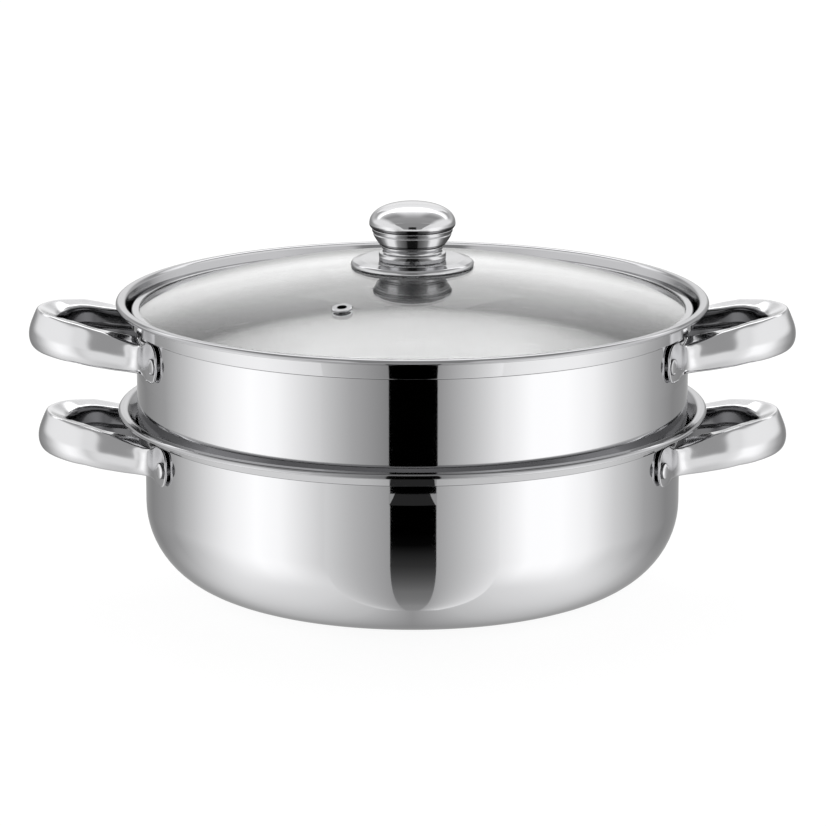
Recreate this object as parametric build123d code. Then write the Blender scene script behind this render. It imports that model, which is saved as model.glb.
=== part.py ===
from build123d import *
import os
from math import asin, cos, pi, radians, sin, sqrt

# A two-tier steamer pot: a pot, a steamer tier that stands in its rim, and a domed glass lid.
# Millimetres, +Z up, -Y towards the viewer, origin at the centre of the pot's base.

# Sheet thicknesses and general clearances
sheet = 0.8
handle_sheet = 1.0
pin_clearance = 0.05
seat_clearance = 0.3
cut_overrun = 5.0

# Pot, by its outer face
pot_radius = 136.7
pot_corner_radius = 42.5
pot_ledge_height = 83.2
pot_ledge_width = 3.7
pot_flare_width = 5.9
pot_flare_rise = 7.9
pot_lip_width = 4.0
pot_lip_fall = 0.5
pot_lip_hem = 1.5

# Steamer tier, by its outer face
steamer_overhang = 3.8
steamer_radius = pot_radius + steamer_overhang
steamer_foot_depth = 10.0
steamer_foot_clearance = 1.3
steamer_foot_corner = 7.0
steamer_seat_corner = 2.0
steamer_wall_height = 52.2
steamer_ledge_width = 3.1
steamer_flare_width = 2.8
steamer_flare_rise = 10.4
steamer_lip_width = 4.3
steamer_lip_fall = 0.3
steamer_lip_hem = 1.5
steam_hole_radius = 3.5
steam_hole_pitch = 17.0
steam_hole_rings = 5

# Bends that both rims share, measured on the outer face
ledge_bend = 0.5
groove_bend = 0.9
flare_bend = 1.6
hem_bend = 0.9

# Lid
glass_rise = 23.6
glass_thickness = 3.0
glass_edge_cover = 1.2
lid_clearance = 0.8
lid_band_width = 3.9
lid_band_height = 5.9
lid_band_round = 0.8
glass_edge_height = 4.0
lid_band_radius = steamer_radius + steamer_ledge_width - lid_clearance
glass_radius = lid_band_radius - glass_edge_cover
vent_distance = 84.3
vent_bearing = 245.9
vent_flange_radius = 5.2
vent_bore_radius = 2.5
vent_sleeve_wall = 0.6
vent_flange_thickness = 1.2
vent_flange_round = 0.5

# Knob, from the glass up
knob_hole_radius = 4.0
screw_radius = 2.5
screw_head_radius = 5.5
screw_head_height = 3.2
screw_slot_width = 1.2
screw_slot_depth = 1.4
screw_reach = 8.0
lower_washer_radius = 8.0
lower_washer_thickness = 1.2
lower_seal_radius = 10.5
lower_seal_thickness = 1.5
upper_seal_radius = 14.0
upper_seal_thickness = 1.0
flange_radius = 31.3
flange_sheet = 0.8
flange_rim_round = 1.1
flange_crown_radius = 26.0
flange_crown_rise = 0.8
flange_seat_radius = 18.0
collar_radius = 17.0
collar_band_height = 3.9
collar_waist_radius = 14.9
collar_top_radius = 16.2
collar_height = 7.6
collar_round = 0.6
bowl_gap = 0.5
bowl_spigot_radius = 13.5
bowl_base_radius = 16.6
bowl_top_radius = 20.5
bowl_height = 9.9
bowl_belly_share = 0.82
bowl_ring_height = 5.6
bowl_ring_depth = 0.5
bowl_ring_width = 0.7
bowl_shelf_radius = 18.5
bowl_shelf_height = 1.4
insert_radius = 6.0
insert_height = 7.0
cap_radius = 21.9
cap_dome_height = 10.8
cap_skirt_height = 2.0
cap_sheet = 1.0
cap_lip_radius = 20.9
oval_share = 0.5523

# Loop handles, the same on both tiers, placed from their rivets
rivet_drop = 12.2
rivet_half_spacing = 60.0
rivet_shank_radius = 2.4
rivet_head_radius = 4.2
pot_rivet_head_height = 2.3
steamer_rivet_head_height = 1.1
rivet_head_round = 0.5
rivet_inner_head_radius = 4.5
rivet_inner_head_height = 1.0
spacer_radius = 3.1
spacer_thickness = 1.0
tab_thickness = 1.4
tab_above_rivet = 10.3
tab_below_rivet = 8.8
tab_beyond_rivet = 4.6
tab_towards_loop = 20.0
tab_corner_radius = 6.5
loop_half_width = 38.6
loop_reach = 55.0
loop_root = 9.0
loop_squareness = 2.4
loop_flare = 5.0
loop_flare_reach = 9.0
band_width_at_wall = 11.0
band_width_at_end = 14.8
band_height_at_wall = 14.6
band_height_at_end = 20.4
band_foot_at_wall = -8.4
band_foot_at_end = -3.0
loop_stations = 15
loop_walk_steps = 900

# Outline of the handle's section: shares of its width inwards and of its height upwards
wall_section_shares = (
    (0.00, 0.50), (0.05, 0.18), (0.25, 0.02), (0.55, 0.00), (0.88, 0.07),
    (1.00, 0.50), (0.94, 0.93), (0.55, 1.00), (0.17, 0.96), (0.03, 0.80),
)
end_section_shares = (
    (0.00, 0.34), (0.06, 0.13), (0.27, 0.01), (0.58, 0.00), (0.91, 0.10),
    (1.00, 0.45), (0.93, 0.76), (0.62, 0.89), (0.32, 0.99), (0.13, 0.76),
)

# Heights that follow from the sizes above
pot_ledge_top = pot_ledge_height + sheet
steamer_base = pot_ledge_top - steamer_foot_depth
steamer_ledge_height = pot_ledge_top + steamer_wall_height
lid_seat_height = steamer_ledge_height + sheet


def revolved(points):
    """A solid of revolution about +Z from a closed outline of (radius, height) points."""
    outline = Polyline(*[(r, 0, z) for r, z in points], close=True)
    return revolve(make_face(outline), axis=Axis.Z)


def revolved_face(face):
    """A solid of revolution about +Z from a face drawn in the XZ plane."""
    return revolve(Plane.XZ * face, axis=Axis.Z)


def disc(radius, low, high, bore=0):
    """An upright disc or ring between two heights."""
    body = Pos(0, 0, low) * Cylinder(radius, high - low, align=(Align.CENTER, Align.CENTER, Align.MIN))
    if bore:
        reach = high - low + 2 * cut_overrun
        hole = Cylinder(bore, reach, align=(Align.CENTER, Align.CENTER, Align.MIN))
        body -= Pos(0, 0, low - cut_overrun) * hole
    return body


def vessel(points, bends):
    """A pressed vessel: an outer line from the centre to the lip, thickened inwards and revolved."""
    line = FilletPolyline(*points, radius=bends)
    skin = offset(line, amount=sheet, side=Side.LEFT)
    return revolved_face(make_face(skin))


def rim_points(wall, ledge, ledge_width, flare_width, flare_rise, lip_width, lip_fall, hem):
    """The outer line of a stepped rim, from the top of the wall to the hem of the lip."""
    groove = wall + ledge_width
    crown = groove + flare_width
    edge = crown + lip_width - sheet
    top = ledge + flare_rise
    return [
        (wall, ledge),
        (groove, ledge),
        (crown, top),
        (edge, top - lip_fall),
        (edge, top - lip_fall - hem),
    ]


rim_bends = [ledge_bend, groove_bend, flare_bend, hem_bend]


def pot():
    """The pot: a flat base, a large rounded corner, an upright wall and a stepped rim."""
    rim = rim_points(
        pot_radius, pot_ledge_height, pot_ledge_width, pot_flare_width, pot_flare_rise,
        pot_lip_width, pot_lip_fall, pot_lip_hem,
    )
    return vessel([(0, 0), (pot_radius, 0)] + rim, [pot_corner_radius] + rim_bends)


def steam_hole_places():
    """Centres of the steam holes: one in the middle and six more in each ring outwards."""
    places = [(0, 0)]
    for ring in range(1, steam_hole_rings + 1):
        count = 6 * ring
        for k in range(count):
            turn = 2 * pi * k / count
            places.append((ring * steam_hole_pitch * cos(turn), ring * steam_hole_pitch * sin(turn)))
    return places


def steamer():
    """The steamer tier: a pierced floor in a foot, a step that seats in the pot, a wall and a rim."""
    foot_radius = pot_radius - sheet - steamer_foot_clearance
    rim = rim_points(
        steamer_radius, steamer_ledge_height, steamer_ledge_width, steamer_flare_width,
        steamer_flare_rise, steamer_lip_width, steamer_lip_fall, steamer_lip_hem,
    )
    points = [
        (0, steamer_base),
        (foot_radius, steamer_base),
        (foot_radius, pot_ledge_top),
        (steamer_radius, pot_ledge_top),
    ]
    bends = [steamer_foot_corner, ledge_bend, steamer_seat_corner] + rim_bends
    body = vessel(points + rim, bends)
    drill = Cylinder(steam_hole_radius, 2 * cut_overrun)
    holes = [Pos(x, y, steamer_base) * drill for x, y in steam_hole_places()]
    return body - holes


# Lid glass: the height of its outer face's top, and the sphere it is part of
glass_sphere = (glass_radius**2 + glass_rise**2) / (2 * glass_rise)
glass_apex = lid_seat_height + glass_edge_height + glass_rise
glass_centre = glass_apex - glass_sphere


def glass_top(radius):
    """Height of the outer glass face at a distance from the lid's axis."""
    return glass_centre + sqrt(glass_sphere**2 - radius**2)


def vent_place():
    """Where the vent stands: the point on the glass, with the glass's own upward direction."""
    x = vent_distance * cos(radians(vent_bearing))
    y = vent_distance * sin(radians(vent_bearing))
    z = glass_top(vent_distance)
    return Plane(origin=(x, y, z), z_dir=(x, y, z - glass_centre))


def lid_glass():
    """The domed glass: a slice of a hollow sphere with holes for the knob and the vent."""
    centre = Pos(0, 0, glass_centre)
    dome = centre * Sphere(glass_sphere) - centre * Sphere(glass_sphere - glass_thickness)
    blank = disc(glass_radius, lid_seat_height - glass_thickness, glass_apex + cut_overrun, knob_hole_radius)
    vent_hole = vent_place() * Cylinder(vent_bore_radius + vent_sleeve_wall + pin_clearance, 2 * cut_overrun)
    return dome & blank - vent_hole


def lid_band(glass):
    """The steel band folded round the edge of the glass, which rests on the steamer's ledge."""
    inner = lid_band_radius - lid_band_width
    ring = disc(lid_band_radius, lid_seat_height, lid_seat_height + lid_band_height, inner)
    outer_edges = ring.edges().filter_by(GeomType.CIRCLE).sort_by(SortBy.RADIUS)[-2:]
    ring = fillet(outer_edges, lid_band_round)
    return ring - glass


def vent_grommet():
    """The vent's eyelet: a sleeve through the glass with a flange on each side of it."""
    sleeve_radius = vent_bore_radius + vent_sleeve_wall
    sleeve = Cylinder(sleeve_radius, glass_thickness + vent_flange_thickness)
    sleeve = Pos(0, 0, -glass_thickness / 2) * sleeve
    flange = Cylinder(vent_flange_radius, vent_flange_thickness)
    flange = fillet(flange.edges(), vent_flange_round)
    gap = seat_clearance / 2
    top = Pos(0, 0, vent_flange_thickness / 2 + gap) * flange
    bottom = Pos(0, 0, -glass_thickness - vent_flange_thickness / 2 - gap) * flange
    bore = Cylinder(vent_bore_radius, 4 * cut_overrun)
    return vent_place() * (sleeve + top + bottom - bore)


# Knob heights, from the glass up
flange_seat = glass_apex + upper_seal_thickness
collar_seat = flange_seat + flange_sheet
bowl_seat = collar_seat + collar_height
bowl_low = bowl_seat + bowl_gap
bowl_top = bowl_low + bowl_height
cap_low = bowl_top - bowl_shelf_height
cap_equator = cap_low + cap_skirt_height
shank_bore = screw_radius + pin_clearance


def upper_seal(glass):
    """The soft ring between the glass and the knob's flange."""
    return disc(upper_seal_radius, glass_apex - upper_seal_thickness, flange_seat, knob_hole_radius) - glass


def lower_seal(glass):
    """The soft ring under the glass, whose neck lines the hole for the knob's screw."""
    under = glass_apex - glass_thickness
    neck = disc(knob_hole_radius - pin_clearance, under - lower_seal_thickness, glass_apex, shank_bore)
    ring = disc(lower_seal_radius, under - lower_seal_thickness, under, shank_bore)
    return neck + (ring - glass)


def lower_washer():
    """The steel washer that spreads the screw's load under the lower seal."""
    top = glass_apex - glass_thickness - lower_seal_thickness
    washer = disc(lower_washer_radius, top - lower_washer_thickness, top, shank_bore)
    return washer


def knob_screw():
    """The slotted screw that clamps the knob to the glass from below."""
    seat = glass_apex - glass_thickness - lower_seal_thickness - lower_washer_thickness
    head = disc(screw_head_radius, seat - screw_head_height, seat)
    low_edge = head.edges().sort_by(Axis.Z)[0]
    head = fillet(low_edge, screw_head_height / 2)
    slot = Box(2 * screw_head_radius + cut_overrun, screw_slot_width, 2 * screw_slot_depth)
    head -= Pos(0, 0, seat - screw_head_height) * slot
    return head + disc(screw_radius, seat - pin_clearance, bowl_low + screw_reach)


def knob_flange():
    """The knob's round escutcheon: a pressed saucer with a rolled rim just above the glass."""
    rim_low = glass_top(flange_radius) + seat_clearance
    rim_high = rim_low + 2 * flange_rim_round
    crown = collar_seat + flange_crown_rise - flange_sheet
    line = FilletPolyline(
        (shank_bore, flange_seat),
        (flange_seat_radius, flange_seat),
        (flange_crown_radius, crown),
        (flange_radius - flange_sheet, rim_high - flange_sheet),
        (flange_radius - flange_sheet, rim_low),
        radius=[flange_rim_round, flange_rim_round * 2, flange_rim_round],
    )
    skin = offset(line, amount=flange_sheet, side=Side.LEFT)
    return revolved_face(make_face(skin))


def knob_collar():
    """The knob's collar: a plain band below and a waist that opens again under the bowl."""
    band = collar_seat + collar_band_height
    collar = revolved([
        (shank_bore, collar_seat),
        (collar_radius, collar_seat),
        (collar_radius, band),
        (collar_waist_radius, band + collar_round),
        (collar_top_radius, bowl_seat),
        (shank_bore, bowl_seat),
    ])
    sharp = collar.edges().filter_by(GeomType.CIRCLE).sort_by(SortBy.RADIUS)[-2:]
    return fillet(sharp, collar_round)


def knob_bowl():
    """The knob's tapered bowl with its turned ring, and a pocket for the threaded insert."""
    ring_low = bowl_low + bowl_ring_height
    ring_high = ring_low + bowl_ring_width

    def side(height):
        share = min(1, (height - bowl_low) / (bowl_height * bowl_belly_share))
        return bowl_base_radius + (bowl_top_radius - bowl_base_radius) * sin(share * pi / 2)

    body = revolved([
        (shank_bore, bowl_seat),
        (bowl_spigot_radius, bowl_seat),
        (bowl_spigot_radius, bowl_low),
        (bowl_base_radius, bowl_low),
        (side(bowl_low + bowl_ring_height / 3), bowl_low + bowl_ring_height / 3),
        (side(bowl_low + 2 * bowl_ring_height / 3), bowl_low + 2 * bowl_ring_height / 3),
        (side(ring_low), ring_low),
        (side(ring_low) - bowl_ring_depth, ring_low),
        (side(ring_high) - bowl_ring_depth, ring_high),
        (side(ring_high), ring_high),
        (side(cap_low - seat_clearance), cap_low - seat_clearance),
        (bowl_shelf_radius, cap_low - seat_clearance),
        (bowl_shelf_radius, bowl_top),
        (shank_bore, bowl_top),
    ])
    pocket = disc(insert_radius + pin_clearance, bowl_top - insert_height, bowl_top + cut_overrun)
    return body - pocket


def knob_insert():
    """The threaded insert in the bowl that takes the screw."""
    low = bowl_top - insert_height
    return disc(insert_radius, low, bowl_top, shank_bore)


def quarter_oval(radius, low, height):
    """A quarter of an oval from its widest point up to the axis, in the XZ drawing plane."""
    return Bezier(
        (radius, low),
        (radius, low + height * oval_share),
        (radius * oval_share, low + height),
        (0, low + height),
    )


def knob_cap():
    """The knob's domed cap: a pressed shell whose skirt closes over the bowl's shelf."""
    inner_radius = cap_radius - cap_sheet
    inner_height = cap_dome_height - cap_sheet
    bore = bowl_shelf_radius + pin_clearance
    outside = make_face([
        Line((0, cap_low), (cap_lip_radius, cap_low)),
        Line((cap_lip_radius, cap_low), (cap_radius, cap_equator)),
        quarter_oval(cap_radius, cap_equator, cap_dome_height),
        Line((0, cap_equator + cap_dome_height), (0, cap_low)),
    ])
    inside = make_face([
        Line((0, bowl_top), (bore, bowl_top)),
        Line((bore, bowl_top), (inner_radius, cap_equator)),
        quarter_oval(inner_radius, cap_equator, inner_height),
        Line((0, cap_equator + inner_height), (0, bowl_top)),
    ])
    return revolved_face(outside) - revolved_face(inside) - disc(bore, cap_low - cut_overrun, bowl_top)


# Loop handles. Each is made for the +X side with its rivets at height zero, then turned and raised.


def loop_place(turn):
    """A point of the loop's outer face in plan, for a turn from -90 to 90 degrees along it.

    The plan is half of a superellipse whose arms flare outwards where they come near the wall.
    """
    power = 2 / loop_squareness
    side = 1 if turn >= 0 else -1
    out = (loop_reach + loop_root) * abs(cos(turn)) ** power - loop_root
    nearness = max(0, 1 - (out + loop_root) / (loop_flare_reach + loop_root))
    across = loop_half_width * abs(sin(turn)) ** power + loop_flare * nearness**2
    return out, side * across


def loop_turns():
    """Turns of stations that lie evenly along the loop, found by walking along it in small steps."""
    walk = [-pi / 2 + pi * k / loop_walk_steps for k in range(loop_walk_steps + 1)]
    places = [loop_place(turn) for turn in walk]
    travelled = [0]
    for (x0, y0), (x1, y1) in zip(places, places[1:]):
        travelled.append(travelled[-1] + sqrt((x1 - x0) ** 2 + (y1 - y0) ** 2))
    turns = []
    for station in range(loop_stations):
        goal = travelled[-1] * station / (loop_stations - 1)
        nearest = min(range(len(walk)), key=lambda k: abs(travelled[k] - goal))
        turns.append(walk[nearest])
    return turns


def loop_outward(turn):
    """The direction out of the loop in plan: square to a short step along it."""
    step = pi / loop_walk_steps
    before = loop_place(max(turn - step, -pi / 2))
    after = loop_place(min(turn + step, pi / 2))
    along_x = after[0] - before[0]
    along_y = after[1] - before[1]
    size = sqrt(along_x**2 + along_y**2)
    return along_y / size, -along_x / size


def loop_section(wall_radius, turn):
    """The outline of the handle's section at one place along the loop, as points."""
    out, across = loop_place(turn)
    nx, ny = loop_outward(turn)
    end = sin(pi / 2 * max(0, min(1, out / loop_reach)))
    width = band_width_at_wall + (band_width_at_end - band_width_at_wall) * end
    height = band_height_at_wall + (band_height_at_end - band_height_at_wall) * end
    foot = band_foot_at_wall + (band_foot_at_end - band_foot_at_wall) * end
    outline = []
    for (s0, h0), (s1, h1) in zip(wall_section_shares, end_section_shares):
        inwards = width * (s0 + (s1 - s0) * end)
        upwards = foot + height * (h0 + (h1 - h0) * end)
        outline.append((wall_radius + out - nx * inwards, across - ny * inwards, upwards))
    return outline


def loop_core(wall_radius, turn):
    """The outline of the hollow inside the section, as points one sheet in from its outline."""
    skin = loop_section(wall_radius, turn)
    nx, ny = loop_outward(turn)
    middle = [sum(point[axis] for point in skin) / len(skin) for axis in range(3)]
    outline = []
    for x, y, z in skin:
        inwards = -((x - middle[0]) * nx + (y - middle[1]) * ny)
        upwards = z - middle[2]
        length = sqrt(inwards**2 + upwards**2)
        share = 1 - handle_sheet / length
        outline.append((middle[0] - nx * inwards * share, middle[1] - ny * inwards * share, middle[2] + upwards * share))
    return outline


def loop_band(wall_radius):
    """The loop as one smooth hollow solid: a lofted skin less a lofted core."""
    skin = [Face(Wire([Spline(*loop_section(wall_radius, turn), periodic=True)])) for turn in loop_turns()]
    core = [Face(Wire([Spline(*loop_core(wall_radius, turn), periodic=True)])) for turn in loop_turns()]
    return loft(skin) - loft(core)


def rivet_plane(wall_radius, side):
    """The plane at a rivet: its origin on the wall's outer face and its Z axis pointing outwards."""
    bearing = asin(side * rivet_half_spacing / wall_radius)
    out = (cos(bearing), sin(bearing), 0)
    return Plane(origin=(wall_radius * out[0], wall_radius * out[1], 0), x_dir=(-out[1], out[0], 0), z_dir=out)


def ring_slice(inner, outer):
    """A tall ring about the pot's axis, for pieces that lie on its round wall."""
    height = 4 * (band_height_at_end + tab_below_rivet)
    return Cylinder(outer, height) - Cylinder(inner, height)


def radial_pin(wall_radius, side, radius):
    """A long round pin along a rivet's axis."""
    return rivet_plane(wall_radius, side) * Cylinder(radius, 4 * cut_overrun)


def handle(wall_radius):
    """A pressed hollow loop with a flat tab at each end, bent outwards to lie along the wall."""
    tab_low = wall_radius + spacer_thickness
    tab_high = tab_low + tab_thickness
    body = loop_band(wall_radius) - Cylinder(tab_low, 4 * band_height_at_end)
    tab_width = tab_beyond_rivet + tab_towards_loop
    tab_height = tab_above_rivet + tab_below_rivet
    outline = RectangleRounded(tab_width, tab_height, tab_corner_radius)
    for side in (-1, 1):
        middle = (side * (tab_beyond_rivet - tab_towards_loop) / 2, (tab_above_rivet - tab_below_rivet) / 2)
        blank = extrude(Pos(*middle) * outline, 2 * tab_height, both=True)
        tab = rivet_plane(wall_radius, side) * blank & ring_slice(tab_low, tab_high)
        body = body + tab - radial_pin(wall_radius, side, rivet_shank_radius + pin_clearance)
    return body


def rivets(wall_radius, head_height):
    """Both rivets of a handle: a head on the tab, a shank through the wall and a low inner head."""
    tab_high = wall_radius + spacer_thickness + tab_thickness
    wall_inner = wall_radius - sheet
    made = []
    for side in (-1, 1):
        plane = rivet_plane(wall_radius, side)
        head_top = spacer_thickness + tab_thickness + head_height
        head = disc(rivet_head_radius, -cut_overrun, head_top)
        head = fillet(head.edges().sort_by(Axis.Z)[-1], rivet_head_round)
        head = plane * head - Cylinder(tab_high, 8 * band_height_at_end)
        low = disc(rivet_inner_head_radius, -sheet - rivet_inner_head_height, cut_overrun)
        low = fillet(low.edges().sort_by(Axis.Z)[0], rivet_inner_head_height / 2)
        low = plane * low & Cylinder(wall_inner, 8 * band_height_at_end)
        shank = plane * disc(rivet_shank_radius, -sheet - rivet_inner_head_height / 2, head_top - rivet_head_round)
        made.append(head + shank + low)
    return Compound(made)


def spacers(wall_radius):
    """Both spacers of a handle, which hold its tabs off the round wall."""
    made = []
    for side in (-1, 1):
        ring = radial_pin(wall_radius, side, spacer_radius) & ring_slice(wall_radius, wall_radius + spacer_thickness)
        made.append(ring - radial_pin(wall_radius, side, rivet_shank_radius + pin_clearance))
    return Compound([solid for ring in made for solid in ring.solids()])


def rivet_holes(wall_radius, height):
    """The four holes in a tier's wall for its handles' rivets."""
    pins = []
    for bearing in (0, 180):
        for side in (-1, 1):
            pin = radial_pin(wall_radius, side, rivet_shank_radius + pin_clearance)
            pins.append(Rot(0, 0, bearing) * Pos(0, 0, height) * pin)
    return pins


def write(name, shape):
    """Writes one node's file, named after the node."""
    export_step(shape, f"parts/{name}.step")


os.makedirs("parts", exist_ok=True)

tiers = {
    "pot": (pot_radius, pot_ledge_height - rivet_drop, pot_rivet_head_height, pot()),
    "steamer": (steamer_radius, steamer_ledge_height - rivet_drop, steamer_rivet_head_height, steamer()),
}
for tier, (radius, height, head_height, shell) in tiers.items():
    write(f"{tier}_shell", shell - rivet_holes(radius, height))
    kit = {"handle": handle(radius), "rivets": rivets(radius, head_height), "spacers": spacers(radius)}
    for side, bearing in (("right", 0), ("left", 180)):
        place = Rot(0, 0, bearing) * Pos(0, 0, height)
        write(f"{tier}_handle_{side}", place * kit["handle"])
        write(f"{tier}_handle_{side}_rivets", place * kit["rivets"])
        write(f"{tier}_handle_{side}_spacers", place * kit["spacers"])

glass = lid_glass()
write("lid_glass", glass)
write("lid_band", lid_band(glass))
write("lid_vent_grommet", vent_grommet())
write("knob_upper_seal", upper_seal(glass))
write("knob_lower_seal", lower_seal(glass))
write("knob_lower_washer", lower_washer())
write("knob_screw", knob_screw())
write("knob_flange", knob_flange())
write("knob_collar", knob_collar())
write("knob_bowl", knob_bowl())
write("knob_insert", knob_insert())
write("knob_cap", knob_cap())
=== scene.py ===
# %% [markdown]
# # A two-tier steamer pot with a domed glass lid
# The imported CAD model is loaded as a fixed frame. Every visible sheet-metal piece is then made again
# as a fine numpy surface in the same place, and the small fasteners of the CAD model stay and are
# given their finishes.

# %% Load the frame
import math

import bpy
import numpy as np
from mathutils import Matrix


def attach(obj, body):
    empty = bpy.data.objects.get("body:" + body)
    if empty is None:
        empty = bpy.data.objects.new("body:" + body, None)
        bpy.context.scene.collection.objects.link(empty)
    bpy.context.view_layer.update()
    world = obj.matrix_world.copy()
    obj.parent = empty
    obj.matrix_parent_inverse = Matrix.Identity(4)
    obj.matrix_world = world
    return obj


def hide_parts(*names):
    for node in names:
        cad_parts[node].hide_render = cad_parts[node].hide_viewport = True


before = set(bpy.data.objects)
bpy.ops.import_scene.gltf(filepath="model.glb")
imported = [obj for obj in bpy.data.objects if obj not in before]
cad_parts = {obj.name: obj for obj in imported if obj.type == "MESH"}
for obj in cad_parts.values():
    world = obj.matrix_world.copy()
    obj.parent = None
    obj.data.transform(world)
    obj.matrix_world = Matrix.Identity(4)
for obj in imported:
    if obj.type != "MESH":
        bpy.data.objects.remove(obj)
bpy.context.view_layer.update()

mm = 0.001

# %% [markdown]
# ## The camera
# A product photograph of cookware is taken with a long lens from a little above, so that the rims
# read as flat ovals. The camera stands two metres away and looks down by about 13 degrees. Its place
# and lens were found by fitting the rims, the grooves and the pot's outline.

# %% Set up the camera
camera_data = bpy.data.cameras.new("photo_camera")
camera_data.sensor_width = 36
camera_data.lens = 174.33
camera = bpy.data.objects.new("photo_camera", camera_data)
camera.location = (0.0003, -1.994, 0.55935)
camera.rotation_euler = (math.radians(76.65), 0, 0)
bpy.context.collection.objects.link(camera)
bpy.context.scene.camera = camera
bpy.context.scene.view_settings.view_transform = "Standard"
print("camera at", tuple(camera.location), "lens", camera_data.lens)

# %% [markdown]
# ## Helpers for node trees
# Finishes and the studio are node trees. One helper adds a node and fills its inputs, and another
# adds a ramp of greys.


# %% Helpers for node trees
def add(tree, kind, values=None, **options):
    """Adds one node, sets its options, and gives its inputs numbers or links."""
    made = tree.nodes.new(kind)
    for name, value in options.items():
        setattr(made, name, value)
    for key, value in (values or {}).items():
        socket = made.inputs[key]
        if isinstance(value, bpy.types.NodeSocket):
            tree.links.new(value, socket)
        else:
            socket.default_value = value
    return made


def maths(tree, operation, *values, clamp=False):
    """One step of arithmetic on numbers or sockets."""
    step = add(tree, "ShaderNodeMath", dict(enumerate(values)), operation=operation, use_clamp=clamp)
    return step.outputs[0]


def fade(tree, source, low, high):
    """Rises smoothly from 0 at the low value to 1 at the high value."""
    step = add(
        tree, "ShaderNodeMapRange", {"Value": source, "From Min": low, "From Max": high},
        interpolation_type="SMOOTHSTEP",
    )
    return step.outputs["Result"]


def grey_ramp(tree, source, stops, low=0.0, high=1.0):
    """A ramp of greys, with each stop given as a value of the source and a brightness."""
    share = add(tree, "ShaderNodeMapRange", {"Value": source, "From Min": low, "From Max": high})
    made = add(tree, "ShaderNodeValToRGB", {"Fac": share.outputs["Result"]})
    elements = made.color_ramp.elements
    while len(elements) < len(stops):
        elements.new(0.5)
    for element, (place, level) in zip(elements, stops):
        element.position = (place - low) / (high - low)
    for element, (place, level) in zip(elements, stops):
        element.color = (level, level, level, 1)
    return made.outputs["Color"]


def blend(tree, share, first, second):
    """Mixes two brightnesses: the first at a share of 0, the second at 1."""
    step = add(tree, "ShaderNodeMix", {0: share, 2: first, 3: second}, data_type="FLOAT")
    return step.outputs[0]


print("helpers ready")

# %% [markdown]
# ## The studio
# Polished steel has hardly any colour of its own: what is seen in it is the room. Photographers
# stand a pot in a tent of white cloth with grey ends and put one narrow black card in front, which
# draws the dark line down the middle of the walls. Lamps and cards could be modelled one by one, but
# the same room is clearer as a sky whose brightness depends on bearing and elevation. Its levels are
# given as the grey that steel shows. Overhead they follow an arch from the back to the front, bright
# where the glass lid looks. The eye itself sees plain white behind the pot.

# %% Brightness of the room by bearing
steel_reflectance = 0.68
room_strength = 1.5


def room_level(shade):
    """The room's brightness that steel shows as this shade, where shades run from 0 to 255."""
    return (shade / 255) ** 2.2 / steel_reflectance / room_strength


wall_shades = [
    (-180, 165), (-150, 140), (-125, 155), (-108, 190), (-85, 238), (-70, 255), (-58, 247), (-38, 200),
    (-25, 215), (25, 215), (38, 228), (50, 253), (66, 254), (80, 240), (96, 202), (118, 160), (140, 138),
    (180, 165),
]
low_shades = [(0, 142), (0.17, 182), (0.4, 205), (0.8, 228), (1, 228)]
arch_glow = [
    (0, 1.2), (14, 1.55), (22, 1.3), (31.8, 1.0), (33.6, 1.9), (37, 2.8), (44, 3.9), (48, 4.0), (52, 1.6),
    (62, 1.0), (75, 0.65), (90, 0.46), (110, 0.41), (180, 0.40),
]
brightest_arch = 4.0

world = bpy.data.worlds.new("studio")
world.use_nodes = True
bpy.context.scene.world = world
room = world.node_tree
room.nodes.clear()
direction = add(room, "ShaderNodeSeparateXYZ", {0: add(room, "ShaderNodeTexCoord").outputs["Generated"]})
east, north, up = direction.outputs
to_front = maths(room, "MULTIPLY", north, -1.0)
bearing = maths(room, "MULTIPLY", maths(room, "ARCTAN2", east, to_front), 180 / math.pi)
elevation = maths(room, "MULTIPLY", maths(room, "ARCSINE", up), 180 / math.pi)
print("room follows bearing and elevation")

# %% Put the room together
around = grey_ramp(room, bearing, [(b, room_level(s)) for b, s in wall_shades], -180, 180)
sideways_share = maths(room, "ABSOLUTE", east)
over = maths(room, "MULTIPLY", maths(room, "ARCTAN2", up, north), 180 / math.pi)
arch = grey_ramp(room, over, [(turn, glow / brightest_arch) for turn, glow in arch_glow], 0, 180)
arch = maths(room, "MULTIPLY", arch, brightest_arch / room_strength)
arch_edge = maths(room, "MULTIPLY", fade(room, sideways_share, 0.1, 0.34), fade(room, over, 95, 70))
arch = maths(room, "MULTIPLY", arch, blend(room, arch_edge, 1.0, 0.52))
front_sky = maths(room, "MULTIPLY", fade(room, over, 120, 140), fade(room, sideways_share, 0.3, 0.42))
arch = blend(room, front_sky, arch, room_level(216))
above = blend(room, fade(room, sideways_share, 0.62, 0.85), arch, room_level(228))
below = grey_ramp(room, sideways_share, [(x, room_level(s)) for x, s in low_shades])
low_room = blend(room, fade(room, elevation, -20, -52), around, below)
whole_room = blend(room, fade(room, elevation, -4, 8), low_room, above)

path = add(room, "ShaderNodeLightPath")
not_reflected = maths(room, "LESS_THAN", path.outputs["Glossy Depth"], 0.5)
not_scattered = maths(room, "LESS_THAN", path.outputs["Diffuse Depth"], 0.5)
seen_through = maths(room, "MULTIPLY", path.outputs["Is Transmission Ray"], not_reflected)
seen_through = maths(room, "MULTIPLY", seen_through, not_scattered)
seen = maths(room, "MAXIMUM", path.outputs["Is Camera Ray"], seen_through)
brightness = blend(room, seen, whole_room, 1 / room_strength)
light = add(room, "ShaderNodeBackground", {"Color": brightness, "Strength": room_strength})
add(room, "ShaderNodeOutputWorld", {"Surface": light.outputs[0]})
print("room nodes:", len(room.nodes))

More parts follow.
